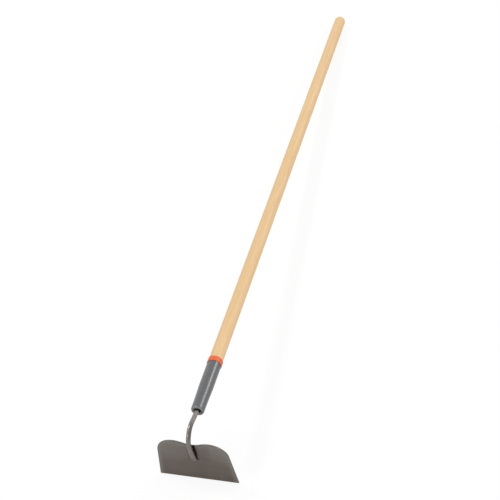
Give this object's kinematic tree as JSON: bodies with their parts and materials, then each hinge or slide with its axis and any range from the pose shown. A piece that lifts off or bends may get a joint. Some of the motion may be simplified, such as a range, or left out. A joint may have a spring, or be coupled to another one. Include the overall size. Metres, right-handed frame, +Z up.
{
  "type": "garden hoe",
  "caption": "Swan-neck garden hoe with a long round wooden handle, a tapered steel ferrule with a plastic collar, and a round-shouldered steel blade.",
  "frame": {"origin": "centre of the box's base, on the ground that the hoe lies on", "axes": "+Y runs from the blade to the end of the grip, +X across the blade, +Z up. The hoe lies on its cutting edge and on the end of its grip"},
  "size_m": [0.162, 1.4542, 0.1544],
  "materials": {
    "wood": "clear lacquered ash, straight grain",
    "ferrule_steel": "dark grey satin coat",
    "collar_plastic": "satin moulded",
    "nail_steel": "plain",
    "neck_steel": "forged, clear lacquer",
    "blade_steel": "pressed, clear lacquer",
    "weld_steel": "weld bead under clear lacquer"
  },
  "bodies": {
    "root": {"handle": "wood", "ferrule": "ferrule_steel", "collar": "collar_plastic", "ferrule_nail": "nail_steel", "neck": "neck_steel", "blade": "blade_steel", "weld_left": "weld_steel", "weld_right": "weld_steel"}
  },
  "joints": []
}
